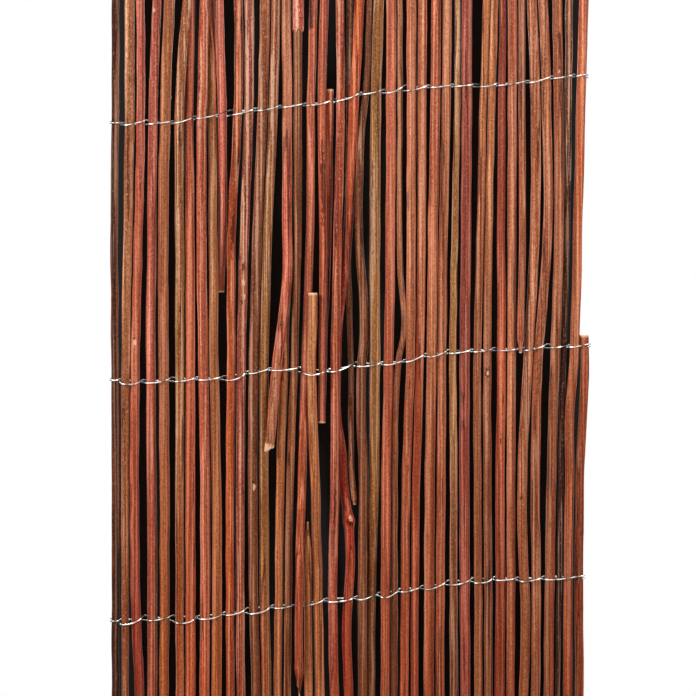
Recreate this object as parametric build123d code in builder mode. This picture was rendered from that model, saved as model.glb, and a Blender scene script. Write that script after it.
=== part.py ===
from build123d import *

import os
from dataclasses import dataclass

import numpy as np

# Willow screening mat: upright willow rods with the bark on, laid side by side and bound by
# three rows of wire. Each row is a pair of strands twined round the rods: one strand passes in
# front of a bundle while the other passes behind it, and they change sides in the gap after it.
# Z runs up the rods, X across the mat, and the face of the mat looks along -Y.
# The origin is the middle of the bottom edge.

# Driving dimensions, mm
bottom_overhang = 60.0
lower_row_pitch = 117.5
upper_row_pitch = 133.0
top_overhang = 61.5
wire_diameter = 0.9
wire_clearance = 0.15
rod_sides = 9
sleeve_diameter = 6.0
sleeve_length = 27.5
sleeve_step = 0.6
knot_diameter = 6.3
knot_height = 39.5
knot_reach = 7.0
break_slope = 42.0

lower_row = bottom_overhang
middle_row = lower_row + lower_row_pitch
upper_row = middle_row + upper_row_pitch
mat_height = upper_row + top_overhang
upper_span = (upper_row + middle_row) / 2
lower_span = (middle_row + lower_row) / 2

# Heights at which the schedule gives each rod's place, from the top edge down
levels = (mat_height, upper_row, upper_span, middle_row, lower_span, lower_row, 0.0)


@dataclass
class Rod:
    """One rod: its diameters, evenly spaced from the top edge down, and its place at each level.

    depths is how far it lies behind the middle of the mat at each level. bends are further heights and
    places where it kinks between the levels. top and bottom are its own ends where it is shorter than
    the mat, and the tapers are the length and the end diameter of a point.
    """

    name: str
    diameters: tuple
    places: tuple
    depths: tuple = (0.0,) * 7
    bends: tuple = ()
    top: float = mat_height
    bottom: float = 0.0
    top_taper: tuple = ()
    bottom_taper: tuple = ()
    broken: bool = False
    sleeved: bool = False
    knotted: bool = False
    loose_row: float = -1.0


rods = [
    Rod("rod_01", (3.8, 3.8), (-117.0, -117.0, -117.6, -117.2, -117.0, -117.0, -117.0)),
    Rod("rod_02", (5.2, 3.4), (-110.1, -110.0, -111.0, -112.0, -112.3, -112.3, -112.1)),
    Rod("rod_03", (4.2, 5.0), (-104.7, -104.4, -105.8, -107.2, -107.7, -107.0, -104.5)),
    Rod("rod_04", (4.6, 5.3), (-95.8, -98.2, -98.9, -99.5, -99.0, -98.6, -98.9)),
    Rod("rod_05", (5.6, 4.9), (-89.6, -92.0, -93.2, -93.0, -92.5, -92.5, -93.0)),
    Rod("rod_06", (5.0, 4.3), (-80.0, -84.8, -85.0, -84.9, -85.0, -84.9, -84.9),
        depths=(-2.7, -1.3, 0.0, 0.0, 0.0, 0.0, 0.0)),
    Rod("rod_07", (4.2, 5.2), (-79.0, -80.3, -79.8, -79.6, -79.7, -79.5, -79.7),
        depths=(2.7, 1.3, 0.0, 0.0, 0.0, 0.0, 0.0)),
    Rod("rod_08", (5.3, 5.1), (-72.0, -73.7, -74.1, -73.2, -72.3, -72.3, -72.7)),
    Rod("rod_09", (4.3, 5.3), (-70.5, -69.0, -68.3, -67.8, -66.6, -66.3, -66.7),
        depths=(5.4, 2.4, 1.2, 0.0, 0.0, 0.0, 0.0)),
    Rod("rod_10", (4.9, 4.1), (-66.0, -64.1, -63.9, -66.5, -67.0, -67.0, -67.0),
        depths=(2.0, 2.6, 3.6, 5.6, 5.6, 5.6, 5.6), bottom=middle_row + 36.5),
    Rod("rod_11", (4.5, 4.3), (-55.5, -55.7, -59.0, -59.2, -59.8, -59.8, -59.5)),
    Rod("rod_12", (4.7, 4.4), (-50.1, -50.3, -52.6, -54.2, -54.7, -54.8, -54.2)),
    Rod("rod_13", (5.2, 4.6), (-42.0, -43.4, -46.2, -48.0, -48.5, -48.0, -46.5)),
    Rod("rod_14", (4.5, 4.9), (-36.7, -38.0, -41.0, -42.8, -42.8, -42.5, -41.2)),
    Rod("rod_15", (4.8, 5.8), (-32.1, -31.5, -31.5, -36.6, -41.7, -46.0, -50.0),
        depths=(0.0, 0.0, -1.0, -2.0, -6.0, -10.0, -14.0), bends=((middle_row + 47.5, -31.3),),
        bottom=middle_row - 44.0, broken=True),
    Rod("rod_16", (4.8, 4.0), (-31.3, -31.4, -31.5, -33.1, -35.0, -35.7, -36.6),
        depths=(4.2, 4.2, 4.2, 2.6, 1.0, 0.0, 0.0), top=middle_row + 75.0),
    Rod("rod_17", (4.4, 3.5), (-26.0, -26.2, -26.3, -28.0, -30.1, -31.0, -31.5), sleeved=True),
    Rod("rod_18", (4.1, 4.5), (-18.0, -19.5, -20.1, -22.5, -24.1, -25.5, -25.7),
        depths=(0.0, 0.0, 2.0, 2.0, -1.5, -5.2, -6.5), bottom=15.0, bottom_taper=(9.0, 1.4),
        loose_row=lower_row),
    Rod("rod_19", (4.0, 4.0), (-21.5, -21.5, -21.5, -21.5, -21.4, -21.1, -20.8),
        top=lower_row + 39.0, top_taper=(13.0, 0.8)),
    Rod("rod_20", (4.9, 5.0), (-17.8, -17.8, -17.8, -19.3, -17.5, -16.1, -15.0),
        depths=(-2.3, -2.3, -2.3, -2.0, 0.0, 0.0, 0.0), top=middle_row + 36.0),
    Rod("rod_21", (4.6, 3.4), (-12.5, -14.1, -13.4, -13.8, -14.5, -15.0, -15.0),
        depths=(-0.6, -0.6, 0.0, 0.6, 0.8, 0.8, 0.8), bottom=middle_row - 29.0),
    Rod("rod_22", (4.1, 3.4), (-9.5, -10.3, -11.2, -13.5, -14.5, -15.0, -15.0),
        depths=(1.6, 2.0, 4.1, 4.8, 4.9, 4.9, 4.9), top=upper_row + 5.0, bottom=middle_row - 17.5),
    Rod("rod_23", (4.3, 4.7), (-5.4, -4.7, -6.2, -7.5, -7.7, -8.8, -7.5),
        depths=(0.0, 0.0, -0.8, -1.6, -1.6, 0.0, 0.0)),
    Rod("rod_24", (5.0, 4.7), (5.5, 2.1, -1.1, -7.1, -3.4, -1.0, -0.1),
        depths=(0.0, -0.8, 2.2, 3.4, 2.8, 0.0, 0.0), knotted=True,
        bends=((middle_row - 30.0, -6.3), (middle_row - 42.5, -4.5), (lower_row + knot_height, -0.6),
               (lower_row + 20.0, 0.0), (lower_row - 10.0, -1.6), (lower_row - 35.0, -1.3))),
    Rod("rod_25", (3.3, 2.6), (-0.1, -0.3, -1.2, 0.4, 1.2, 6.0, 7.0),
        depths=(2.8, 3.0, 6.4, 5.8, 3.0, 3.0, 3.0), bottom=lower_row + 47.5, bottom_taper=(3.0, 1.2)),
    Rod("rod_26", (2.6, 5.0, 5.0), (9.7, 7.5, 4.3, 5.7, 6.7, 6.2, 6.4),
        depths=(0.0, 0.0, -1.0, 0.0, 0.0, 0.0, 0.0),
        bends=((upper_row - 12.5, 5.9), (upper_row - 30.5, 4.9), (middle_row + 12.5, 6.9))),
    Rod("rod_27", (5.3, 5.5, 4.2), (14.6, 12.9, 12.3, 12.2, 11.9, 10.4, 10.4),
        depths=(0.0, 0.0, 0.0, 0.0, 0.6, 2.5, 2.5)),
    Rod("rod_28", (5.1, 4.9), (20.5, 20.4, 19.8, 19.2, 17.9, 17.7, 17.5)),
    Rod("rod_29", (2.6, 3.4), (24.7, 24.9, 24.6, 24.1, 22.2, 22.1, 22.0),
        bends=((middle_row + 47.5, 25.1), (middle_row + 12.5, 26.3), (middle_row + 5.0, 24.7),
               (middle_row - 7.5, 23.4))),
    Rod("rod_30", (4.9, 4.2), (30.6, 30.7, 30.5, 30.1, 28.0, 27.4, 27.0)),
    Rod("rod_31", (4.5, 3.8), (36.2, 35.9, 35.7, 34.7, 33.0, 32.3, 32.0)),
    Rod("rod_32", (4.9, 5.2), (43.1, 42.6, 41.4, 40.7, 39.8, 39.5, 39.2)),
    Rod("rod_33", (4.7, 4.6), (48.8, 48.1, 46.6, 45.8, 45.5, 45.0, 44.9)),
    Rod("rod_34", (2.9, 4.4), (53.8, 53.6, 52.3, 51.3, 51.8, 51.7, 52.1)),
    Rod("rod_35", (5.4, 5.2), (58.3, 58.3, 57.9, 57.2, 57.1, 57.3, 57.6)),
    Rod("rod_36", (3.7, 4.2), (68.7, 66.6, 65.1, 63.5, 63.7, 64.0, 64.1)),
    Rod("rod_37", (3.7, 4.3), (72.6, 70.8, 69.2, 68.5, 68.6, 69.1, 69.0)),
    Rod("rod_38", (3.3, 5.2), (76.3, 75.7, 75.3, 75.5, 74.8, 75.0, 74.3)),
    Rod("rod_39", (4.8, 4.3), (81.0, 81.0, 80.7, 80.5, 80.2, 80.2, 79.7)),
    Rod("rod_40", (3.5, 3.7), (85.7, 85.7, 85.9, 84.7, 84.7, 84.7, 84.7),
        depths=(0.0, 0.0, -1.7, -3.5, -3.5, -3.5, -3.5), bottom=middle_row + 6.0,
        bottom_taper=(7.0, 1.3), loose_row=middle_row),
    Rod("rod_41", (5.0, 4.7), (90.2, 92.5, 92.2, 88.7, 85.9, 87.4, 86.4),
        bends=((lower_row + 35.0, 85.9),)),
    Rod("rod_42", (4.8, 4.6), (96.0, 97.9, 98.6, 93.7, 92.4, 92.9, 92.3)),
    Rod("rod_43", (4.8, 5.0), (103.2, 104.0, 104.3, 102.2, 100.5, 99.5, 98.9)),
    Rod("rod_44", (3.8, 2.3), (109.5, 109.0, 108.3, 106.4, 105.2, 104.3, 103.4),
        depths=(0.0, 0.0, 2.2, 1.2, 0.6, 0.0, 0.0)),
    Rod("rod_45", (4.9, 4.7), (117.0, 115.2, 113.5, 111.4, 109.4, 108.6, 108.4),
        bends=((middle_row - 17.5, 109.9),)),
    Rod("rod_46", (4.4, 4.4), (117.0, 117.0, 117.0, 117.0, 114.6, 114.2, 114.5), top=middle_row + 15.0),
]

# Stitches of each row, left to right: how many rods it binds, its height above the row's level at its
# left and right ends, and how far it sags between them
rows = {
    "upper": (upper_row, [
        (1, -12.1, -12.0, 0.0), (2, -13.2, -10.5, 0.1), (2, -12.7, -11.1, 0.1), (2, -12.3, -8.7, 0.0),
        (3, -9.9, -5.5, 0.0), (2, -8.2, -4.7, 0.0), (2, -5.9, -3.2, 0.4), (2, -4.4, -2.2, 0.0),
        (3, -3.4, -0.1, 0.3), (3, -1.3, 3.3, 0.2), (2, 2.1, 4.7, 0.0), (2, 3.0, 7.0, 0.6),
        (2, 4.0, 6.9, 0.2), (2, 5.7, 7.3, 0.3), (2, 6.1, 7.5, 0.0), (2, 6.0, 7.8, 0.4),
        (3, 6.6, 9.2, 0.0), (2, 8.0, 11.5, 0.0), (2, 10.1, 12.3, 0.0), (1, 11.1, 12.0, 0.0)]),
    "middle": (middle_row, [
        (1, -7.7, -7.0, 0.0), (2, -9.0, -7.5, 1.3), (2, -8.7, -6.2, 0.9), (2, -8.2, -6.1, 0.4),
        (2, -7.3, -5.7, 0.5), (2, -7.4, -3.2, 1.3), (2, -4.4, -1.5, 0.1), (3, -2.7, -1.2, 0.3),
        (4, -3.5, -2.2, 2.0), (3, -3.4, 1.4, 0.2), (2, -0.6, 1.5, 0.7), (2, 0.2, 2.6, 0.5),
        (2, 1.4, 5.7, 0.0), (2, 4.2, 7.7, 0.6), (2, 5.7, 7.8, 0.2), (2, 6.6, 8.7, 0.4),
        (2, 7.2, 8.5, 0.3), (2, 7.3, 10.5, 0.3), (2, 8.5, 10.0, 0.1), (2, 8.8, 10.5, 0.1)]),
    "lower": (lower_row, [
        (1, -10.5, -9.8, 0.0), (2, -12.2, -7.7, 0.7), (2, -10.0, -7.7, 0.4), (2, -10.5, -8.0, 1.9),
        (2, -9.2, -6.2, 1.0), (2, -7.4, -4.0, 0.6), (2, -6.6, -2.7, 0.9), (2, -3.9, -1.7, 0.4),
        (2, -2.9, 0.7, 0.3), (2, -0.6, 1.7, 0.9), (2, 0.5, 3.5, 0.6), (2, 2.2, 5.5, 1.6),
        (2, 4.2, 7.0, 0.4), (2, 5.8, 9.7, 0.9), (2, 7.6, 10.9, 0.5), (2, 9.2, 11.5, 1.4),
        (2, 10.1, 11.2, 0.3), (2, 9.8, 11.7, 0.9), (4, 10.4, 12.3, 0.3)]),
}

wire_radius = wire_diameter / 2
twist_step = wire_diameter + 2 * wire_clearance
corridor = wire_diameter + 2 * wire_clearance
longest_run = 9 * wire_diameter


def at_height(rod, height):
    """Centre across the mat, depth and radius of a rod at a height, straight between its given points."""
    heights, places = zip(*sorted([*zip(levels, rod.places), *rod.bends]))
    place = np.interp(height, heights, places)
    depth = np.interp(height, levels[::-1], rod.depths[::-1])
    gauges = np.linspace(0.0, mat_height, len(rod.diameters))
    diameter = np.interp(height, gauges, rod.diameters[::-1])
    return float(place), float(depth), float(diameter) / 2


def bound_rods(level):
    """The rods that a row of wire binds, left to right."""
    return [rod for rod in rods if rod.bottom < level < rod.top and rod.loose_row != level]


def split_by_stitch(level, stitches):
    """The bound rods of a row, grouped stitch by stitch."""
    waiting = bound_rods(level)
    groups = []
    for count in (int(stitch[0]) for stitch in stitches):
        groups.append(waiting[:count])
        waiting = waiting[count:]
    return groups


def gap_between(group, following, height):
    """Right side of one bundle and left side of the next at a height."""
    left = max(place + radius for place, _, radius in (at_height(rod, height) for rod in group))
    right = min(place - radius for place, _, radius in (at_height(rod, height) for rod in following))
    return left, right


def stitch_heights(level, stitches):
    """Heights of the left and right ends of a row's stitches, with room for the strands to cross between."""
    ends = [level + stitch[2] for stitch in stitches]
    starts = [level + stitch[1] for stitch in stitches]
    for index, end in enumerate(ends[:-1]):
        starts[index + 1] = min(starts[index + 1], end - twist_step)
    return starts, ends


def make_room():
    """Spread the rods sideways where a gap that holds a twist is narrower than the wire needs."""
    needed = {rod.name: 0.0 for rod in rods}
    for level, stitches in rows.values():
        groups = split_by_stitch(level, stitches)
        starts, ends = stitch_heights(level, stitches)
        for index, following in enumerate(groups[1:]):
            name = following[0].name
            for height in (ends[index], starts[index + 1]):
                left, right = gap_between(groups[index], following, height)
                needed[name] = max(needed[name], corridor - (right - left))
    spread = np.cumsum([needed[rod.name] for rod in rods])
    for rod, shift in zip(rods, spread - spread[-1] / 2):
        rod.places = tuple(place + shift for place in rod.places)
        rod.bends = tuple((height, place + shift) for height, place in rod.bends)


def rod_sections(rod):
    """Height and radius of each section of a rod, from its bottom end to its top end."""
    points = [*levels, *(height for height, _ in rod.bends)]
    heights = {rod.bottom, rod.top} | {height for height in points if rod.bottom < height < rod.top}
    sections = {height: at_height(rod, height)[2] for height in heights}
    for end, taper, inward in ((rod.top, rod.top_taper, -1), (rod.bottom, rod.bottom_taper, 1)):
        if taper:
            length, diameter = taper
            shoulder = end + inward * length
            sections[shoulder] = at_height(rod, shoulder)[2]
            sections[end] = diameter / 2
    if rod.knotted:
        middle = lower_row + knot_height
        for height in (middle - knot_reach, middle + knot_reach):
            sections[height] = at_height(rod, height)[2]
        sections[middle] = knot_diameter / 2
    if rod.sleeved:
        hem = mat_height - sleeve_length
        sections[hem] = at_height(rod, hem)[2]
        sections[hem + sleeve_step] = sleeve_diameter / 2
        sections[mat_height] = sleeve_diameter / 2
    return sorted(sections.items())


def build_rod(rod):
    """A rod: its sections lofted straight from level to level, and a slanting break if it has one."""
    with BuildPart() as stem:
        for height, radius in rod_sections(rod):
            place, depth, _ = at_height(rod, height)
            with BuildSketch(Plane(origin=(place, depth, height))):
                RegularPolygon(radius, rod_sides)
        loft(ruled=True)
        if rod.broken:
            place, depth, radius = at_height(rod, rod.bottom)
            slope = np.radians(break_slope)
            tear = Plane(origin=(place - radius, depth, rod.bottom), z_dir=(-np.sin(slope), 0, np.cos(slope)))
            split(bisect_by=tear, keep=Keep.TOP)
    stem.part.label = rod.name
    return stem.part


def wrap_sizes(radius):
    """Reach and half side of the eight-sided path that a strand takes round a rod."""
    reach = radius + wire_radius + wire_clearance
    return reach, reach * np.tan(np.pi / 8)


def wrap_corners(rod, height, side):
    """Corners of a strand's path round the face (side -1) or the back (side 1) of a rod."""
    place, depth, radius = at_height(rod, height)
    reach, half = wrap_sizes(radius)
    return [(place - reach, depth + side * half), (place - half, depth + side * reach),
            (place + half, depth + side * reach), (place + reach, depth + side * half)]


def taut_line(start, end, corners, side):
    """Shortest line from start to end with every corner behind it (side -1) or before it (side 1)."""
    line = []
    between = [(min(max(x, start[0]), end[0]), y) for x, y in corners if (x, y) not in (start, end)]
    for x, y in [start, *sorted(between, key=lambda corner: corner[0]), end]:
        while len(line) > 1:
            (x0, y0), (x1, y1) = line[-2:]
            bend = (x1 - x0) * (y - y0) - (y1 - y0) * (x - x0)
            if bend * side < 0:
                break
            line.pop()
        line.append((x, y))
    return line


def halve_long_runs(line):
    """The line with a further point in the middle of each run that is too long to follow the sag."""
    halved = line[:1]
    for (x0, y0), (x1, y1) in zip(line, line[1:]):
        if np.hypot(x1 - x0, y1 - y0) > longest_run:
            halved.append(((x0 + x1) / 2, (y0 + y1) / 2))
        halved.append((x1, y1))
    return halved


def strand_route(level, stitches, strand):
    """Route of one of a row's two strands: before one bundle, behind the next, hooked round both edges."""
    groups = split_by_stitch(level, stitches)
    last = len(groups) - 1
    starts, ends = stitch_heights(level, stitches)

    route = []
    for index, group in enumerate(groups):
        side = -1 if (index + strand) % 2 == 0 else 1
        if side == -1:
            first, final, sag = starts[index], ends[index], stitches[index][3]
        else:
            first = ends[index - 1] if index > 0 else starts[0] + twist_step
            final = starts[index + 1] if index < last else ends[last] - twist_step
            sag = 0.0
        left = at_height(group[0], first)[0]
        right = at_height(group[-1], final)[0]
        if index > 0:
            left = sum(gap_between(groups[index - 1], group, first)) / 2
        if index < last:
            right = sum(gap_between(group, groups[index + 1], final)) / 2

        def height_at(x):
            share = np.clip((x - left) / (right - left), 0, 1) if right > left else 0.5
            climb = share**2 if side == -1 else share
            return first + (final - first) * climb - 4 * sag * share * (1 - share)

        corners = []
        for rod in group:
            corners += wrap_corners(rod, height_at(at_height(rod, (first + final) / 2)[0]), side)
        start, end = (left, 0.0), (right, 0.0)
        hook_start, hook_end = [], []
        if index == 0:
            start = corners[0]
            hook_start = wrap_corners(group[0], first, -side)[:1]
        if index == last:
            end = corners[-1]
            hook_end = wrap_corners(group[-1], final, -side)[:1:-1]
        line = halve_long_runs(taut_line(start, end, corners, side))
        if index < last:
            line.pop()
        route += [(x, y, first) for x, y in hook_start]
        route += [(x, y, height_at(x)) for x, y in line]
        route += [(x, y, final) for x, y in hook_end]
    return route


def build_strand(name, route):
    """A strand of wire: upright squares of the wire's own area, mitred on the route and lofted straight."""
    flat = wire_radius * np.sqrt(np.pi)
    plan = np.array(route)[:, :2]
    runs = np.diff(plan, axis=0)
    runs /= np.linalg.norm(runs, axis=1)[:, None]
    arriving = np.vstack([runs[:1], runs])
    leaving = np.vstack([runs, runs[-1:]])
    with BuildPart() as strand:
        for point, before, after in zip(route, arriving, leaving):
            ahead = (before + after) / np.linalg.norm(before + after)
            mitre = flat / float(ahead @ after)
            across = (float(-ahead[1]), float(ahead[0]), 0)
            with BuildSketch(Plane(origin=point, x_dir=across, z_dir=(float(ahead[0]), float(ahead[1]), 0))):
                Rectangle(mitre, flat)
        loft(ruled=True)
    strand.part.label = name
    return strand.part


make_room()
pieces = [build_rod(rod) for rod in rods]
for row, (level, stitches) in rows.items():
    for strand, order in enumerate(("a", "b")):
        pieces.append(build_strand(f"wire_{row}_{order}", strand_route(level, stitches, strand)))

os.makedirs("parts", exist_ok=True)
for piece in pieces:
    export_step(piece, f"parts/{piece.label}.step")
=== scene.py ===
import math

import bmesh
import bpy
import numpy as np
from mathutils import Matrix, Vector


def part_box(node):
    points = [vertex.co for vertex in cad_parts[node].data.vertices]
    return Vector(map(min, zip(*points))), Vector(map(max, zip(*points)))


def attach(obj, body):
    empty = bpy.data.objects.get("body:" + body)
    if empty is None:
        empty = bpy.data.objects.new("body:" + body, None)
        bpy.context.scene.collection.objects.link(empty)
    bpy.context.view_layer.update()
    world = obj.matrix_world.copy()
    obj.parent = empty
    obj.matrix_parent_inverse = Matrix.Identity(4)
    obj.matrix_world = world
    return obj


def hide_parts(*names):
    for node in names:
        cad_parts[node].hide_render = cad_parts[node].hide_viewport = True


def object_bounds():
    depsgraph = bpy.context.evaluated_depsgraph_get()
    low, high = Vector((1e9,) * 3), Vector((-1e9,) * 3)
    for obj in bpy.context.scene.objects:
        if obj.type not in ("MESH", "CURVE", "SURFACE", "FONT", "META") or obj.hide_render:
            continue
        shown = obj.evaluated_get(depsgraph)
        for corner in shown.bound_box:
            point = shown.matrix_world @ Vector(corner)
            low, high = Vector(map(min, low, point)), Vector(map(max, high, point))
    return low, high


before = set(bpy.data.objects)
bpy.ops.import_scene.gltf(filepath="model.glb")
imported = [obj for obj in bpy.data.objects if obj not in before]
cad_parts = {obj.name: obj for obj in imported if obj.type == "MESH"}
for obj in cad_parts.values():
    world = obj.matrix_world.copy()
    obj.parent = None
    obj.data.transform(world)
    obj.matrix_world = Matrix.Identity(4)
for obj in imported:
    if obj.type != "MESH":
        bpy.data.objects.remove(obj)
cad_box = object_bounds()

# Willow rods: one-year shoots, dried with the bark on and cut to length by a saw. The bark is smooth
# and banded lengthwise in tones from olive to crimson, and the cut ends show pale wood.
solid_sides = 9
level_slack = 2e-5
ring_sides = 22
ring_pitch = 0.001
rod_share = 0.975
wobble = 0.00010
wobble_waves = (0.025, 0.07)
wobble_evening = 1.7
node_swell = 0.03
node_pitches = (0.026, 0.042)
node_reach = 0.06
oval_share, lobed_share = 0.02, 0.012
edge_round = 0.00018
end_shares = np.array([0.3, 0.75, 0.95])[:, None, None]

# Shares of red, green and blue that the bark loses toward a rod's foot, and that painted shade takes from
# its sides where rods meet
foot_darkening = np.array([0.17, 0.27, 0.36])
foot_darkening_curve = 1.5
painted_side_shade = np.array([0.12, 0.34, 0.42])
side_shade_start = 0.6

bark_tones = {
    "umber": (74, 46, 33), "brown": (134, 86, 58), "greybrown": (164, 110, 80), "olive": (156, 114, 66),
    "khaki": (186, 132, 92), "tan": (186, 122, 88), "ochre": (190, 118, 68), "salmon": (202, 120, 92),
    "pink": (202, 116, 98), "mauve": (170, 96, 82), "crimson": (158, 62, 48), "scarlet": (190, 72, 46),
    "orange": (200, 108, 62), "terracotta": (186, 98, 66), "rust": (162, 84, 54), "maroon": (104, 38, 32),
    "straw": (216, 150, 100), "rose": (228, 134, 108),
}

# Tones of each rod at its top, middle and bottom, and of the bands that run down it
rod_tones = {
    "rod_01": "umber umber umber brown", "rod_02": "khaki khaki ochre greybrown",
    "rod_03": "pink salmon crimson mauve", "rod_04": "mauve pink rust brown",
    "rod_05": "khaki tan ochre khaki", "rod_06": "greybrown olive orange khaki",
    "rod_07": "mauve salmon orange terracotta", "rod_08": "mauve salmon terracotta terracotta",
    "rod_09": "olive khaki ochre orange", "rod_10": "mauve salmon terracotta pink",
    "rod_11": "rust orange orange rust", "rod_12": "brown tan rust mauve",
    "rod_13": "tan brown brown brown", "rod_14": "greybrown olive rust olive",
    # Rod 16's light straw tones are partly its bark and partly painted light, lifting it where rods in
    # front shade it
    "rod_15": "rose pink salmon greybrown", "rod_16": "khaki straw straw straw",
    "rod_17": "olive brown straw brown", "rod_18": "salmon salmon rust orange",
    "rod_19": "straw straw straw tan", "rod_20": "rust ochre straw khaki",
    # Rod 22's light rose tones are partly its bark and partly painted light, lifting it where rods in front
    # shade it
    "rod_21": "salmon terracotta salmon mauve", "rod_22": "rose rose salmon orange",
    "rod_23": "rust terracotta terracotta mauve", "rod_24": "orange crimson scarlet terracotta",
    "rod_25": "brown straw khaki tan", "rod_26": "brown umber brown brown",
    "rod_27": "olive olive brown olive", "rod_28": "salmon salmon terracotta tan",
    # Rod 29's darker tones toward its foot are painted shade, where it lies behind other rods
    "rod_29": "khaki greybrown brown umber", "rod_30": "tan tan terracotta salmon",
    "rod_31": "salmon terracotta rust tan", "rod_32": "salmon tan rust tan",
    "rod_33": "tan tan rust tan", "rod_34": "brown greybrown brown olive",
    "rod_35": "mauve mauve crimson mauve", "rod_36": "straw greybrown khaki tan",
    "rod_37": "straw greybrown brown brown", "rod_38": "mauve terracotta rust orange",
    "rod_39": "salmon greybrown rust tan", "rod_40": "greybrown salmon salmon greybrown",
    "rod_41": "tan tan ochre greybrown", "rod_42": "tan tan rust greybrown",
    "rod_43": "tan greybrown rust brown", "rod_44": "brown umber umber umber",
    "rod_45": "salmon tan rust orange", "rod_46": "rust rust rust brown",
}

# Share of flecks and pores in the bark and strength of its painted sheen, and the rods with more of them
# than the rest
plain_wear_and_sheen = 0.35
foot_wear_and_sheen = 0.35
rod_wear_and_sheen = {
    "rod_02": 0.9, "rod_04": 0.6, "rod_06": 0.8, "rod_08": 0.8, "rod_11": 0.6, "rod_12": 0.9, "rod_13": 0.6,
    "rod_14": 0.7, "rod_23": 0.7, "rod_25": 1.0, "rod_26": 0.4, "rod_27": 0.6, "rod_34": 0.8, "rod_41": 0.7,
    "rod_42": 0.6, "rod_44": 0.7,
}

# Marks in the bark in millimetres: kind, height, place across the face from -1 to 1, length and width
rod_marks = {
    "rod_03": [("pale", 188.5, -0.1, 3.4, 2.4), ("dark", 190.5, -0.3, 1.5, 2.6)],
    "rod_04": [("pale", 355, -0.6, 3.0, 1.4)],
    "rod_06": [("dark", 291, 0.1, 14, 1.2), ("dark", 194, -0.1, 9, 1.0), ("dark", 206, 0.2, 5, 1.0)],
    "rod_08": [("dark", 313, -0.6, 30, 1.3), ("pale", 307, -0.5, 20, 1.0)],
    "rod_11": [("dark", 347, 0.6, 9, 1.4), ("dark", 245, 0.3, 24, 1.8)],
    "rod_12": [("pale", 219, 0.1, 3.0, 1.8), ("pale", 212, 0.4, 2.6, 1.4), ("dark", 209, -0.1, 3.6, 1.8),
               ("dark", 226, 0.0, 5, 1.4)],
    "rod_13": [("pale", 116.5, 0.4, 3.0, 1.8), ("dark", 119, 0.1, 2.2, 1.6)],
    "rod_15": [("dark", 198, -0.1, 1.2, 3.0), ("dark", 182, 0.5, 11, 1.2), ("dark", 171, -0.2, 1.6, 1.2),
               ("dark", 164, 0.1, 1.2, 1.0), ("dark", 192, 0.3, 1.4, 1.0)],
    "rod_16": [("dark", 181, -0.2, 10, 1.4)],
    "rod_21": [("dark", 268, 0.0, 44, 2.4)],
    "rod_23": [("dark", 110, 0.1, 40, 1.0)],
    "rod_24": [("pale", 101, 0.4, 3.0, 2.0), ("dark", 98.5, 0.3, 3.5, 3.0), ("dark", 106, -0.2, 6, 0.8)],
    "rod_27": [("dark", 270, -0.5, 30, 1.2), ("dark", 234, -0.4, 4, 1.2)],
    "rod_37": [("dark", 173.5, 0.0, 7.0, 3.0), ("pale", 173.5, 0.1, 2.4, 1.2)],
    "rod_38": [("dark", 140, 0.0, 7, 1.0), ("dark", 160, 0.4, 16, 0.8)],
    "rod_41": [("dark", 285, 0.4, 24, 1.4), ("dark", 111, -0.4, 3, 1.2), ("dark", 296, 0.7, 8, 1.6)],
    "rod_43": [("pale", 324, 0.2, 2.0, 1.2), ("dark", 326, 0.5, 2.4, 1.4)],
}
mark_fall = 0.7

# Bud scars on the back of every rod
scar_count = 4
scar_heights = (0.02, 0.35)
scar_turns = (1.9, 4.4)
scar_width, scar_length = 0.0008, 0.0013

# Torn foot of rod 15: the jagged edge, and the wood that the lost bark leaves bare
tear_reach = 0.014
tear_slant, tear_jag = 0.0024, 0.0014
peel_height, peel_slant, peel_jag = 0.0026, 0.003, 0.001
peel_share = 0.6

# Sleeve of loose bark at the top of rod 17, with a ragged hem
hem_height = 0.3445
hem_reach = 0.0015
hem_jag = (-0.0016, 0.0012)

# Rod 18: a dark maroon patch down one side of its top, and fibres spread at its frayed foot
dark_patch_height, dark_patch_side = 0.345, 0.1
fray_height, fray_reach = 0.032, 0.012
fray_spread = (-0.6, 0.6)
fray_jag = (-0.003, 0.008)


def linear(tone):
    """A screen colour from 0 to 255 as the linear colour that the shaders work in."""
    return (np.array(tone) / 255) ** 2.2


def rod_line(node):
    """Heights, centres and radii of a rod's sections: the levels of the solid that hold a whole ring.

    A slanting break is no level ring, so the mean of its corners gives the middle of the break instead.
    """
    points = np.empty(3 * len(node.data.vertices))
    node.data.vertices.foreach_get("co", points)
    points = points.reshape(-1, 3)
    heights, centres, radii = [], [], []
    for height in np.unique(points[:, 2].round(5)):
        ring = np.unique(points[abs(points[:, 2] - height) < level_slack].round(6), axis=0)
        if len(ring) >= solid_sides:
            centre = ring[:, :2].mean(axis=0)
            heights.append(height)
            centres.append(centre)
            radii.append(np.linalg.norm(ring[:, :2] - centre, axis=1).max())
    slanting = np.unique(points[points[:, 2] < heights[0] - level_slack].round(6), axis=0)
    if len(slanting):
        heights.insert(0, slanting[:, 2].mean())
        centres.insert(0, slanting[:, :2].mean(axis=0))
        radii.insert(0, radii[0])
    return np.array(heights), np.array(centres), np.array(radii)


def smooth_through(heights, values, at):
    """A cubic curve through the values, with slopes taken from their neighbours, straight past the ends."""
    slopes = np.gradient(values, heights, axis=0)
    held = np.clip(at, heights[0], heights[-1])
    k = np.clip(np.searchsorted(heights, held) - 1, 0, len(heights) - 2)
    span = heights[k + 1] - heights[k]
    t = ((held - heights[k]) / span)[:, None]
    span = span[:, None]
    curve = ((2 * t**3 - 3 * t**2 + 1) * values[k] + (t**3 - 2 * t**2 + t) * span * slopes[k]
             + (3 * t**2 - 2 * t**3) * values[k + 1] + (t**3 - t**2) * span * slopes[k + 1])
    beyond = slopes[np.where(at < held, 0, len(heights) - 1)]
    return curve + (at - held)[:, None] * beyond


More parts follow.
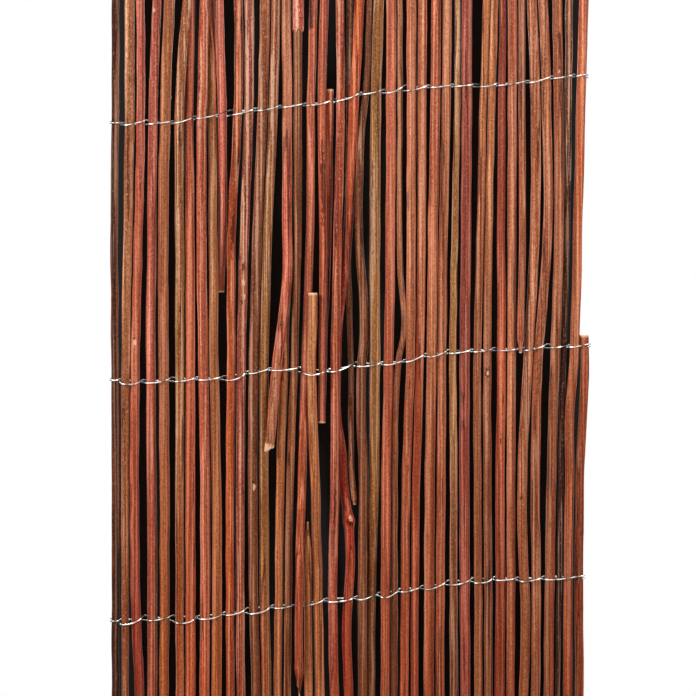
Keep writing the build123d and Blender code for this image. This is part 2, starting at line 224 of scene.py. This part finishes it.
def closed_tube(name, rings):
    """A mesh of quads round and along an array of rings, with a fan of triangles over each end."""
    count, sides = rings.shape[:2]
    points = np.vstack([rings.reshape(-1, 3), rings[0].mean(axis=0), rings[-1].mean(axis=0)])
    first = np.arange(sides)
    after = (first + 1) % sides
    start = (np.arange(count - 1) * sides)[:, None]
    quads = np.stack([start + first, start + after, start + sides + after, start + sides + first], axis=-1)
    last = (count - 1) * sides
    foot = np.stack([after, first, np.full(sides, count * sides)], axis=-1)
    head = np.stack([last + first, last + after, np.full(sides, count * sides + 1)], axis=-1)
    corners = np.concatenate([quads.ravel(), foot.ravel(), head.ravel()])
    sizes = np.concatenate([np.full(quads.size // 4, 4), np.full(2 * sides, 3)])
    mesh = bpy.data.meshes.new(name)
    mesh.vertices.add(len(points))
    mesh.vertices.foreach_set("co", points.astype(np.float32).ravel())
    mesh.loops.add(len(corners))
    mesh.loops.foreach_set("vertex_index", corners.astype(np.int32))
    mesh.polygons.add(len(sizes))
    mesh.polygons.foreach_set("loop_start", np.concatenate([[0], np.cumsum(sizes)[:-1]]).astype(np.int32))
    mesh.polygons.foreach_set("use_smooth", np.ones(len(sizes), bool))
    mesh.update(calc_edges=True)
    mesh.validate()
    piece = bpy.data.objects.new(name, mesh)
    bpy.context.scene.collection.objects.link(piece)
    return piece


def paint(piece, name, values):
    """Stores a value or a colour at every point of the rings and at the two end points."""
    flat = values.reshape(values.shape[0] * values.shape[1], -1)
    flat = np.vstack([flat, flat[:1], flat[-1:]]).astype(np.float32)
    kind, field = ("FLOAT_COLOR", "color") if flat.shape[1] == 4 else ("FLOAT", "value")
    layer = piece.data.attributes.new(name, kind, "POINT")
    layer.data.foreach_set(field, flat.ravel())


def rod_rings(name, chance):
    """Rings along a rod's line, wavering a little and swollen at the buds, with flat, eased ends."""
    heights, centres, radii = rod_line(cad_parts[name])
    low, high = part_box(name)
    along = np.arange(low.z + ring_pitch, high.z - ring_pitch / 2, ring_pitch)
    along = np.unique(np.concatenate([along, heights[1:-1]]).round(6))
    along = along[(along > low.z + edge_round) & (along < high.z - edge_round)]
    line = smooth_through(heights, centres, along)
    radius = np.interp(along, heights, radii) * rod_share
    waves = chance.uniform(*wobble_waves, (3, 2))
    shifts = chance.uniform(0, 2 * np.pi, (3, 2))
    swing = np.sin(along[:, None, None] * 2 * np.pi / waves + shifts).sum(axis=1)
    line += wobble * swing / wobble_evening
    node_pitch = chance.uniform(*node_pitches)
    beat = (along + chance.uniform(0, node_pitch)) % node_pitch / node_pitch - 0.5
    radius *= 1 + node_swell * np.exp(-(beat / node_reach) ** 2)
    turn = np.linspace(0, 2 * np.pi, ring_sides, endpoint=False)
    outline = 1 + oval_share * np.cos(2 * turn + chance.uniform(0, 6))
    outline += lobed_share * np.cos(3 * turn + chance.uniform(0, 6))
    reach = radius[:, None] * outline
    rings = np.stack([line[:, None, 0] + reach * np.sin(turn), line[:, None, 1] - reach * np.cos(turn),
                      np.repeat(along[:, None], ring_sides, axis=1)], axis=-1)
    foot = rings[0].mean(axis=0) + end_shares * (rings[0] - rings[0].mean(axis=0))
    head = rings[-1].mean(axis=0) + end_shares[::-1] * (rings[-1] - rings[-1].mean(axis=0))
    foot[..., 2] = low.z
    head[..., 2] = high.z
    return np.concatenate([foot, rings, head]), turn


def spot(beside, beyond):
    """Strength of a mark, by how many half widths and half lengths away from its middle a point is."""
    return np.exp(-mark_fall * (beside**2 + beyond**2))


def rod_piece(name, number):
    """A rod with its tones, flecks and marks stored at its points."""
    chance = np.random.default_rng(number)
    rings, turn = rod_rings(name, chance)
    level = rings[..., 2:3]
    bare = np.zeros(rings.shape[:2])
    bare[:len(end_shares)] = 1
    bare[-len(end_shares):] = 1

    top, middle, bottom, band = (linear(bark_tones[tone]) for tone in rod_tones[name].split())
    share = level / cad_box[1].z
    tint = np.ones((*rings.shape[:2], 4))
    tint[..., :3] = np.where(share > 0.5, middle + (top - middle) * (2 * share - 1),
                             bottom + (middle - bottom) * 2 * share)
    side = np.ones_like(tint)
    side[..., :3] = band
    # Painted shade: each rod's sides, where it meets its neighbours, are darkened; the bark also darkens
    # toward the foot
    side_shade = np.clip((abs(np.sin(turn)) - side_shade_start) / (1 - side_shade_start), 0, 1)[:, None]
    foot_darkening_and_side_shade = (1 - (1 - share) ** foot_darkening_curve * foot_darkening) * (1 - side_shade * painted_side_shade)
    tint[..., :3] *= foot_darkening_and_side_shade
    side[..., :3] *= foot_darkening_and_side_shade
    # Share of flecks and pores, which also sets how strong the painted sheen is
    wear_and_sheen = rod_wear_and_sheen.get(name, plain_wear_and_sheen) * (foot_wear_and_sheen + (1 - foot_wear_and_sheen) * share[..., 0])

    marks = {"pale": np.zeros(rings.shape[:2]), "dark": np.zeros(rings.shape[:2])}
    waist = rings[len(rings) // 2, :, :2]
    radius = np.linalg.norm(waist - waist.mean(axis=0), axis=1).mean()
    around = (turn + np.pi) % (2 * np.pi) - np.pi
    for kind, height, across, length, width in rod_marks.get(name, []):
        beside = (around - math.asin(across)) * radius / (width / 2000)
        beyond = (level[..., 0] - height / 1000) / (length / 2000)
        marks[kind] = np.maximum(marks[kind], spot(beside, beyond))
    for height in chance.uniform(*scar_heights, scar_count):
        away = (turn - chance.uniform(*scar_turns) + np.pi) % (2 * np.pi) - np.pi
        beyond = (level[..., 0] - height) / scar_length
        marks["dark"] = np.maximum(marks["dark"], spot(away * radius / scar_width, beyond))

    if name == "rod_15":
        above_foot = level[..., 0] - level.min()
        ease = np.clip(1 - above_foot / tear_reach, 0, 1)
        jag = tear_slant * (np.sin(turn) + 1) / 2 + chance.uniform(0, tear_jag, ring_sides)
        torn = peel_height - peel_slant * np.sin(turn) + chance.uniform(-peel_jag, peel_jag, ring_sides)
        bare = np.maximum(bare, peel_share * (above_foot < torn) * (np.cos(turn) > 0))
        rings[..., 2] += ease * jag
    if name == "rod_17":
        hem = np.exp(-((level[..., 0] - hem_height) / hem_reach) ** 2)
        sleeve = level[..., 0] > hem_height
        rings[..., 2] += hem * chance.uniform(*hem_jag, ring_sides)
        tint[sleeve, :3] = linear(bark_tones["crimson"])
        side[sleeve, :3] = linear(bark_tones["pink"])
        wear_and_sheen[sleeve] = 1
    if name == "rod_18":
        # A dark maroon patch down one side of the top
        dark_patch = (level[..., 0] > dark_patch_height) & (np.sin(turn) < dark_patch_side)
        tint[dark_patch, :3] = linear(bark_tones["maroon"])
        side[dark_patch, :3] = linear(bark_tones["maroon"])
        frayed = np.clip((fray_height - level) / fray_reach, 0, 1)
        core = rings.mean(axis=1, keepdims=True)
        rings[..., :2] += (rings - core)[..., :2] * frayed * chance.uniform(*fray_spread, (ring_sides, 1))
        rings[..., 2:] += frayed * chance.uniform(*fray_jag, (ring_sides, 1))

    piece = closed_tube(name + "_bark", rings)
    paint(piece, "bark_tint", tint)
    paint(piece, "bark_band", side)
    paint(piece, "bark_wear_and_sheen", wear_and_sheen)
    paint(piece, "pale_mark", marks["pale"])
    paint(piece, "dark_mark", marks["dark"])
    paint(piece, "bare_wood", bare)
    return piece


# Sockets of a colour mix
under_socket, over_socket, mixed_socket = 6, 7, 2

# What the streaks, cracks and stains leave of the bark's colour, and the colours of its painted sheen and
# of what lies on it
bark_shades = {
    "band": (0.70, 0.58, 0.50), "blotch": (0.62, 0.48, 0.40), "streak": (0.52, 0.38, 0.32),
    "line": (0.44, 0.29, 0.24), "grain": (0.42, 0.30, 0.25), "crack": (0.24, 0.12, 0.09),
    "stain": (0.22, 0.13, 0.11), "pale line": (0.6, 0.5, 0.4),
}
bark_specks = {
    "painted_sheen": (0.56, 0.335, 0.225), "fleck": (0.56, 0.34, 0.23), "pore": (0.035, 0.014, 0.010),
    "scar": (0.46, 0.24, 0.14), "wood": (0.66, 0.43, 0.25),
}
crack_level, crack_width = 0.54, 0.012
bark_gloss = 0.04
ridge_strength, ridge_height = 0.4, 0.0004


def bark_group():
    """Bark: two tones in long bands, streaked, grained, cracked and flecked, with marks and bare wood."""
    group = bpy.data.node_groups.new("willow_bark_pattern", "ShaderNodeTree")
    for name in ("Tint", "Band"):
        group.interface.new_socket(name, in_out="INPUT", socket_type="NodeSocketColor")
    for name in ("Wear and Sheen", "Pale Mark", "Dark Mark", "Bare Wood"):
        group.interface.new_socket(name, in_out="INPUT", socket_type="NodeSocketFloat")
    group.interface.new_socket("Color", in_out="OUTPUT", socket_type="NodeSocketColor")
    for name in ("Roughness", "Height"):
        group.interface.new_socket(name, in_out="OUTPUT", socket_type="NodeSocketFloat")
    nodes, links = group.nodes, group.links
    enter = nodes.new("NodeGroupInput")
    leave = nodes.new("NodeGroupOutput")
    place = nodes.new("ShaderNodeTexCoord")

    def ramp(value, low, high, to_low=0.0, to_high=1.0):
        """A value carried from one span to another, held at the ends."""
        step = nodes.new("ShaderNodeMapRange")
        for socket, level in zip(step.inputs[1:5], (low, high, to_low, to_high)):
            socket.default_value = level
        links.new(value, step.inputs["Value"])
        return step.outputs["Result"]

    def noise(across, up, detail, shift=0.0):
        """Noise of so many lumps a metre across the rod and up it."""
        scale = nodes.new("ShaderNodeMapping")
        scale.inputs["Scale"].default_value = (across, across, up)
        scale.inputs["Location"].default_value = (shift, shift, shift)
        links.new(place.outputs["Object"], scale.inputs["Vector"])
        field = nodes.new("ShaderNodeTexNoise")
        field.inputs["Scale"].default_value = 1
        field.inputs["Detail"].default_value = detail
        links.new(scale.outputs["Vector"], field.inputs["Vector"])
        return field.outputs["Fac"]

    def sum_of(operation, first, second):
        """Two values, or a value and a number, put together by one operation."""
        node = nodes.new("ShaderNodeMath")
        node.operation = operation
        for socket, value in zip(node.inputs, (first, second)):
            if isinstance(value, float):
                socket.default_value = value
            else:
                links.new(value, socket)
        return node.outputs["Value"]

    def laid(kind, factor, under, over):
        """One colour laid over another by a factor."""
        mix = nodes.new("ShaderNodeMix")
        mix.data_type = "RGBA"
        mix.blend_type = kind
        links.new(factor, mix.inputs["Factor"])
        links.new(under, mix.inputs[under_socket])
        if isinstance(over, tuple):
            mix.inputs[over_socket].default_value = (*over, 1)
        else:
            links.new(over, mix.inputs[over_socket])
        return mix.outputs[mixed_socket]

    grain = noise(1700, 1100, 1.0)
    streaks = noise(520, 7, 3.0, 3.1)
    lines = noise(1050, 11, 1.0, 7.7)
    bands = noise(230, 3.0, 1.0)
    colour = laid("MIX", ramp(bands, 0.51, 0.57, 0, 0.9), enter.outputs["Tint"], enter.outputs["Band"])
    colour = laid("MULTIPLY", ramp(bands, 0.36, 0.52, 0.5, 0), colour, bark_shades["band"])
    blotches = noise(70, 14, 2.0, 5.3)
    colour = laid("MULTIPLY", ramp(blotches, 0.35, 0.65, 0, 0.3), colour, bark_shades["blotch"])
    colour = laid("MULTIPLY", ramp(streaks, 0.40, 0.60, 0, 0.75), colour, bark_shades["streak"])
    colour = laid("MULTIPLY", ramp(lines, 0.42, 0.60, 0, 0.65), colour, bark_shades["line"])
    colour = laid("MULTIPLY", ramp(grain, 0.38, 0.62, 0, 0.7), colour, bark_shades["grain"])
    crack = sum_of("COMPARE", bands, crack_level)
    crack.node.inputs[2].default_value = crack_width
    colour = laid("MULTIPLY", ramp(crack, 0, 1, 0, 0.75), colour, bark_shades["crack"])
    # Painted sheen: pale lines mixed into the bark's colour stand in for its gloss, scaled by the share of
    # flecks
    painted_sheen = sum_of("MULTIPLY", ramp(lines, 0.38, 0.46, 0.6, 0), enter.outputs["Wear and Sheen"])
    colour = laid("MIX", painted_sheen, colour, bark_specks["painted_sheen"])
    fleck = sum_of("MULTIPLY", ramp(noise(1600, 800, 1.0, 2.2), 0.60, 0.70), enter.outputs["Wear and Sheen"])
    colour = laid("MIX", ramp(fleck, 0, 1, 0, 0.45), colour, bark_specks["fleck"])
    pore = sum_of("MULTIPLY", ramp(noise(1300, 520, 1.0, 4.6), 0.60, 0.68), enter.outputs["Wear and Sheen"])
    colour = laid("MIX", ramp(pore, 0, 1, 0, 0.8), colour, bark_specks["pore"])
    broken = ramp(noise(1300, 500, 2.0, 6.1), 0.3, 0.7, -0.35, 0.35)
    dark = ramp(sum_of("ADD", enter.outputs["Dark Mark"], broken), 0.45, 0.7, 0, 0.85)
    colour = laid("MULTIPLY", dark, colour, bark_shades["stain"])
    pale = ramp(sum_of("ADD", enter.outputs["Pale Mark"], broken), 0.45, 0.7, 0, 0.9)
    colour = laid("MIX", pale, colour, bark_specks["scar"])
    wood_lines = ramp(lines, 0.40, 0.60, 0, 0.7)
    wood = laid("MULTIPLY", wood_lines, enter.outputs["Tint"], bark_shades["pale line"])
    wood = laid("MIX", ramp(grain, 0.3, 0.7, 0.75, 0.95), wood, bark_specks["wood"])
    colour = laid("MIX", enter.outputs["Bare Wood"], colour, wood)
    links.new(colour, leave.inputs["Color"])
    links.new(ramp(grain, 0.3, 0.7, 0.34, 0.52), leave.inputs["Roughness"])
    links.new(sum_of("ADD", streaks, sum_of("MULTIPLY", grain, 0.2)), leave.inputs["Height"])
    return group


bark = bpy.data.materials.new("willow_bark")
bark.use_nodes = True
bark_nodes, bark_links = bark.node_tree.nodes, bark.node_tree.links
skin = bark_nodes["Principled BSDF"]
skin.inputs["Specular IOR Level"].default_value = bark_gloss
pattern = bark_nodes.new("ShaderNodeGroup")
pattern.node_tree = bark_group()
for layer, output, socket in (("bark_tint", "Color", "Tint"), ("bark_band", "Color", "Band"),
                              ("bark_wear_and_sheen", "Fac", "Wear and Sheen"), ("pale_mark", "Fac", "Pale Mark"),
                              ("dark_mark", "Fac", "Dark Mark"), ("bare_wood", "Fac", "Bare Wood")):
    reader = bark_nodes.new("ShaderNodeAttribute")
    reader.attribute_name = layer
    bark_links.new(reader.outputs[output], pattern.inputs[socket])
ridges = bark_nodes.new("ShaderNodeBump")
ridges.inputs["Strength"].default_value = ridge_strength
ridges.inputs["Distance"].default_value = ridge_height
bark_links.new(pattern.outputs["Height"], ridges.inputs["Height"])
bark_links.new(ridges.outputs["Normal"], skin.inputs["Normal"])
bark_links.new(pattern.outputs["Color"], skin.inputs["Base Color"])
bark_links.new(pattern.outputs["Roughness"], skin.inputs["Roughness"])

for number, name in enumerate(rod_tones, start=1):
    rod = rod_piece(name, number)
    rod.data.materials.append(bark)
    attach(rod, "root")
    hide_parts(name)

# Binding wire: three pairs of galvanised strands, twined by machine so that one strand lies before a
# bundle of rods and the other behind it, and pulled tight as they change places in the gap.
drawn_in = 0.00011
weld_distance = 1e-6
flat_angle, skew_angle = 0.3, 3.1
rounding_level = 2
spangle_scale = 420
dull_spangle, bright_spangle = 0.37, 0.56
dull_zinc = (0.14, 0.13, 0.10, 1)
bright_zinc = (0.95, 0.93, 0.87, 1)
# Painted shade: the wire's tone near the middle plane of the mat, where it runs in the gaps between the
# rods
painted_shade_zinc = (0.045, 0.040, 0.034, 1)
shade_depth, lit_depth = 0.0015, 0.0027
dull_roughness, bright_roughness = 0.42, 0.22

zinc = bpy.data.materials.new("galvanised_wire")
zinc.use_nodes = True
zinc_nodes, zinc_links = zinc.node_tree.nodes, zinc.node_tree.links
coat = zinc_nodes["Principled BSDF"]
coat.inputs["Metallic"].default_value = 1.0
place = zinc_nodes.new("ShaderNodeTexCoord")
spangle = zinc_nodes.new("ShaderNodeTexNoise")
spangle.inputs["Scale"].default_value = spangle_scale
spangle.inputs["Detail"].default_value = 2
zinc_links.new(place.outputs["Object"], spangle.inputs["Vector"])
zinc_tone = zinc_nodes.new("ShaderNodeMix")
zinc_tone.data_type = "RGBA"
zinc_tone.inputs[under_socket].default_value = dull_zinc
zinc_tone.inputs[over_socket].default_value = bright_zinc
patchy = zinc_nodes.new("ShaderNodeMapRange")
patchy.inputs["From Min"].default_value = dull_spangle
patchy.inputs["From Max"].default_value = bright_spangle
zinc_links.new(spangle.outputs["Fac"], patchy.inputs["Value"])
zinc_links.new(patchy.outputs["Result"], zinc_tone.inputs["Factor"])
# Painted shade: the wire darkens where it lies close to the middle plane of the mat, in the shaded gaps
# between the rods
depth = zinc_nodes.new("ShaderNodeSeparateXYZ")
zinc_links.new(place.outputs["Object"], depth.inputs["Vector"])
off_centre = zinc_nodes.new("ShaderNodeMath")
off_centre.operation = "ABSOLUTE"
zinc_links.new(depth.outputs["Y"], off_centre.inputs[0])
lit_share = zinc_nodes.new("ShaderNodeMapRange")
lit_share.inputs["From Min"].default_value = shade_depth
lit_share.inputs["From Max"].default_value = lit_depth
zinc_links.new(off_centre.outputs["Value"], lit_share.inputs["Value"])
wire_shade = zinc_nodes.new("ShaderNodeMix")
wire_shade.data_type = "RGBA"
wire_shade.inputs[under_socket].default_value = painted_shade_zinc
zinc_links.new(lit_share.outputs["Result"], wire_shade.inputs["Factor"])
zinc_links.new(zinc_tone.outputs[mixed_socket], wire_shade.inputs[over_socket])
zinc_links.new(wire_shade.outputs[mixed_socket], coat.inputs["Base Color"])
gloss = zinc_nodes.new("ShaderNodeMapRange")
gloss.inputs["To Min"].default_value = dull_roughness
gloss.inputs["To Max"].default_value = bright_roughness
zinc_links.new(spangle.outputs["Fac"], gloss.inputs["Value"])
zinc_links.new(gloss.outputs["Result"], coat.inputs["Roughness"])

for row in ("upper", "middle", "lower"):
    for order in ("a", "b"):
        name = f"wire_{row}_{order}"
        shape = bmesh.new()
        shape.from_mesh(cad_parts[name].data)
        bmesh.ops.remove_doubles(shape, verts=shape.verts, dist=weld_distance)
        bmesh.ops.join_triangles(shape, faces=shape.faces, angle_face_threshold=flat_angle,
                                 angle_shape_threshold=skew_angle)
        mesh = bpy.data.meshes.new(name + "_round")
        shape.to_mesh(mesh)
        shape.free()
        points, normals = np.empty((2, 3 * len(mesh.vertices)))
        mesh.vertices.foreach_get("co", points)
        mesh.vertices.foreach_get("normal", normals)
        mesh.vertices.foreach_set("co", points - drawn_in * normals)
        mesh.polygons.foreach_set("use_smooth", np.ones(len(mesh.polygons), bool))
        mesh.materials.append(zinc)
        strand = bpy.data.objects.new(name + "_round", mesh)
        bpy.context.scene.collection.objects.link(strand)
        rounding = strand.modifiers.new("rounding", "SUBSURF")
        rounding.levels = rounding.render_levels = rounding_level
        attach(strand, "root")
        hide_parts(name)

# Stage: a pale floor that fades to plain white, and a dark card close behind the mat, seen only from
# its face and only by the camera: painted shade, so that the gaps between the rods read dark.
floor_reach = 4
floor_tone = (0.8, 0.8, 0.79)
floor_fade = (0.04, 0.118)
card_tone = (0.014, 0.015, 0.014)
card_gap = 0.0004
card_inset = 0.006
sheet_roughness = 0.9


def seen_rays(nodes, links):
    """1 for the rays that show the background: straight to the camera, or by way of metal or glass."""
    rays = nodes.new("ShaderNodeLightPath")
    first = nodes.new("ShaderNodeMath")
    links.new(rays.outputs["Is Camera Ray"], first.inputs[0])
    links.new(rays.outputs["Is Glossy Ray"], first.inputs[1])
    both = nodes.new("ShaderNodeMath")
    both.use_clamp = True
    links.new(first.outputs["Value"], both.inputs[0])
    links.new(rays.outputs["Is Transmission Ray"], both.inputs[1])
    return both.outputs["Value"]


def sheet(name, corners, colour):
    """A flat stage sheet: its nodes, links and shader, and a mix and its factor to link up."""
    mesh = bpy.data.meshes.new(name)
    mesh.from_pydata(corners, [], [tuple(range(len(corners)))])
    finish = bpy.data.materials.new(name)
    finish.use_nodes = True
    nodes, links = finish.node_tree.nodes, finish.node_tree.links
    body = nodes["Principled BSDF"]
    body.inputs["Base Color"].default_value = (*colour, 1)
    body.inputs["Roughness"].default_value = sheet_roughness
    body.inputs["Specular IOR Level"].default_value = 0
    mesh.materials.append(finish)
    made = bpy.data.objects.new(name, mesh)
    bpy.context.scene.collection.objects.link(made)
    mix = nodes.new("ShaderNodeMixShader")
    factor = nodes.new("ShaderNodeMath")
    links.new(factor.outputs["Value"], mix.inputs["Fac"])
    links.new(mix.outputs["Shader"], nodes["Material Output"].inputs["Surface"])
    return nodes, links, body, mix, factor


floor_corners = [(-floor_reach, -floor_reach, 0), (floor_reach, -floor_reach, 0),
                 (floor_reach, floor_reach, 0), (-floor_reach, floor_reach, 0)]
nodes, links, body, mix, factor = sheet("floor", floor_corners, floor_tone)
factor.operation = "MULTIPLY"
links.new(seen_rays(nodes, links), factor.inputs[0])
white = nodes.new("ShaderNodeEmission")
floor_place = nodes.new("ShaderNodeTexCoord")
distance = nodes.new("ShaderNodeVectorMath")
distance.operation = "LENGTH"
fade = nodes.new("ShaderNodeMapRange")
fade.inputs["From Min"].default_value, fade.inputs["From Max"].default_value = floor_fade
links.new(floor_place.outputs["Object"], distance.inputs[0])
links.new(distance.outputs["Value"], fade.inputs["Value"])
links.new(fade.outputs["Result"], factor.inputs[1])
links.new(body.outputs["BSDF"], mix.inputs[1])
links.new(white.outputs["Emission"], mix.inputs[2])

# The card's sides lie behind the outermost rods, with a step where the last rod ends
card_depth = cad_box[1].y + card_gap
card_low, card_high = card_inset, cad_box[1].z - card_inset
left_heights, left_places, _ = rod_line(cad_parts["rod_01"])
upper_heights, upper_places, _ = rod_line(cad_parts["rod_45"])
lower_heights, lower_places, _ = rod_line(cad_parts["rod_46"])
step = lower_heights[-1]
above = upper_heights > step
card_heights = np.concatenate([lower_heights, [step], upper_heights[above], left_heights[::-1]])
card_places = np.concatenate([lower_places[:, 0], [np.interp(step, upper_heights, upper_places[:, 0])],
                              upper_places[above, 0], left_places[::-1, 0]])
card_corners = np.stack([card_places, np.full(len(card_places), card_depth),
                         np.clip(card_heights, card_low, card_high)], axis=-1)
nodes, links, body, mix, factor = sheet("painted_shade_card", card_corners.tolist(), card_tone)
factor.operation = "SUBTRACT"
factor.use_clamp = True
rays = nodes.new("ShaderNodeLightPath")
links.new(rays.outputs["Is Camera Ray"], factor.inputs[0])
facing = nodes.new("ShaderNodeNewGeometry")
clear = nodes.new("ShaderNodeBsdfTransparent")
links.new(facing.outputs["Backfacing"], factor.inputs[1])
links.new(clear.outputs["BSDF"], mix.inputs[1])
links.new(body.outputs["BSDF"], mix.inputs[2])

scene = bpy.context.scene
scene.view_settings.view_transform = "Standard"
world = bpy.data.worlds.new("studio")
scene.world = world
world.use_nodes = True
sky_light, sky_white = 0.06, 1.0
sky_nodes, sky_links = world.node_tree.nodes, world.node_tree.links
sky = sky_nodes["Background"]
sky.inputs["Color"].default_value = (1, 1, 1, 1)
sky_level = sky_nodes.new("ShaderNodeMapRange")
sky_level.inputs["To Min"].default_value = sky_light
sky_level.inputs["To Max"].default_value = sky_white
sky_links.new(seen_rays(sky_nodes, sky_links), sky_level.inputs["Value"])
sky_links.new(sky_level.outputs["Result"], sky.inputs["Strength"])


def lamp(name, place, aim, size, power):
    """A soft square lamp that faces a point."""
    light = bpy.data.lights.new(name, "AREA")
    light.size = size
    light.energy = power
    holder = bpy.data.objects.new(name, light)
    holder.location = place
    direction = np.array(aim) - np.array(place)
    holder.rotation_euler = (math.acos(-direction[2] / np.linalg.norm(direction)), 0,
                             math.atan2(-direction[0], direction[1]))
    bpy.context.scene.collection.objects.link(holder)


mat_middle = (0, 0, 0.19)
lamp("key", (-1.5, -1.15, 1.15), mat_middle, 0.7, 67.5)
lamp("fill", (1.4, -1.2, 0.7), mat_middle, 0.7, 34)
lamp("rear", (0.0, 2.0, 1.0), mat_middle, 1.2, 55)

picture_width = 0.348
picture_middle = (-0.001, 0.186)
camera_distance = 1.8
film_width = 36
lens = bpy.data.cameras.new("camera")
lens.sensor_width = film_width
lens.lens = film_width * camera_distance / picture_width
camera = bpy.data.objects.new("camera", lens)
camera.location = (picture_middle[0], -camera_distance, picture_middle[1])
camera.rotation_euler = (math.pi / 2, 0, 0)
bpy.context.scene.collection.objects.link(camera)
scene.camera = camera
